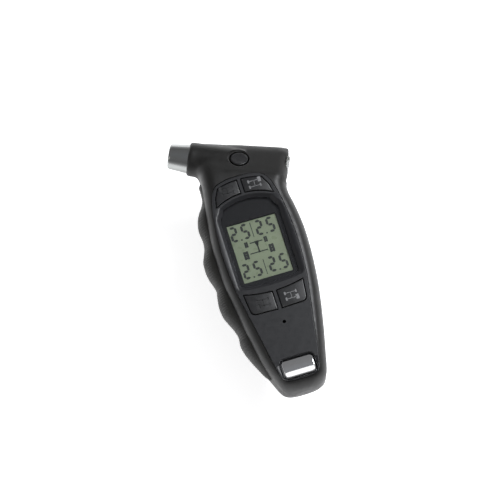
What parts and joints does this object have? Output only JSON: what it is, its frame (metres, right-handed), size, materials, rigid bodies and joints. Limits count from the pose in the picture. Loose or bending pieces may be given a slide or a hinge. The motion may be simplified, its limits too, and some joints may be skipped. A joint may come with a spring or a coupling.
{
  "type": "digital tire pressure gauge",
  "caption": "Pistol-shaped digital tire pressure gauge with a chrome valve nozzle, a rubber finger grip, a framed display, store buttons for the wheels and a torch in the head.",
  "frame": {"origin": "on the flat back, on the centre line of the handle, under the middle of the display", "axes": "+Z is the way the display faces, +Y runs along the handle from the chin to the head, +X is to the right as the display is read; the nozzle leaves the head to the upper left"},
  "size_m": [0.0659, 0.1531, 0.0275],
  "materials": {
    "shell": "satin",
    "panel": "satin",
    "grip": "ribbed matte",
    "key": "satin",
    "chrome": "polished",
    "window": "clear",
    "torch_window": "clear",
    "mask": "gloss black",
    "lcd": "grey-green",
    "diffuser": "white",
    "seal": "matte",
    "board": "solder mask",
    "component": "moulded",
    "steel": "plated",
    "brass": "turned",
    "hose": "translucent",
    "led": "clear",
    "cell": "wrapped",
    "actuator": "moulded"
  },
  "bodies": {
    "gauge": {"rear_cover": "shell", "front_cover": "shell", "face_panel": "panel", "finger_grip": "grip", "display_lens": "window", "lcd_frame": "mask", "lcd_glass": "lcd", "lcd_backlight": "diffuser", "zebra_strips": "seal", "main_board": "board", "controller_chip": "component", "tact_switches": "component", "board_screws": "steel", "buzzer": "component", "pressure_sensor": "component", "air_hose": "hose", "hose_clips": "steel", "nozzle_sleeve": "chrome", "nozzle_core": "brass", "nozzle_seal": "seal", "nozzle_o_ring": "seal", "nozzle_nut": "brass", "valve_pin": "steel", "torch_lens": "torch_window", "torch_leds": "led", "torch_board": "board", "battery_left": "cell", "battery_right": "cell", "battery_springs": "steel", "battery_bridge": "steel", "housing_screws": "steel"},
    "power_key": {"power_button": "key", "power_plunger": "actuator"},
    "front_left_key": {"front_left_button": "key", "front_left_plunger": "actuator"},
    "front_right_key": {"front_right_button": "key", "front_right_plunger": "actuator"},
    "rear_left_key": {"rear_left_button": "key", "rear_left_plunger": "actuator"},
    "rear_right_key": {"rear_right_button": "key", "rear_right_plunger": "actuator"},
    "torch_key": {"torch_button": "chrome", "torch_plunger": "actuator"},
    "battery_cover": {"battery_door": "shell"}
  },
  "joints": [
    {"name": "power_press", "type": "slide", "parent": "gauge", "child": "power_key", "axis": [0, 0, -1], "range_m": [0, 0.0005], "stiffness_N_per_m": 180},
    {"name": "front_left_press", "type": "slide", "parent": "gauge", "child": "front_left_key", "axis": [0, 0, -1], "range_m": [0, 0.0005], "stiffness_N_per_m": 180},
    {"name": "front_right_press", "type": "slide", "parent": "gauge", "child": "front_right_key", "axis": [0, 0, -1], "range_m": [0, 0.0005], "stiffness_N_per_m": 180},
    {"name": "rear_left_press", "type": "slide", "parent": "gauge", "child": "rear_left_key", "axis": [0, 0, -1], "range_m": [0, 0.0005], "stiffness_N_per_m": 180},
    {"name": "rear_right_press", "type": "slide", "parent": "gauge", "child": "rear_right_key", "axis": [0, 0, -1], "range_m": [0, 0.0005], "stiffness_N_per_m": 180},
    {"name": "torch_press", "type": "slide", "parent": "gauge", "child": "torch_key", "axis": [0, 0, -1], "range_m": [0, 0.0005], "stiffness_N_per_m": 180},
    {"name": "battery_door_open", "type": "hinge", "parent": "gauge", "child": "battery_cover", "pos_m": [0, -0.0235, 0], "axis": [1, 0, 0], "range_deg": [0, 35]}
  ]
}
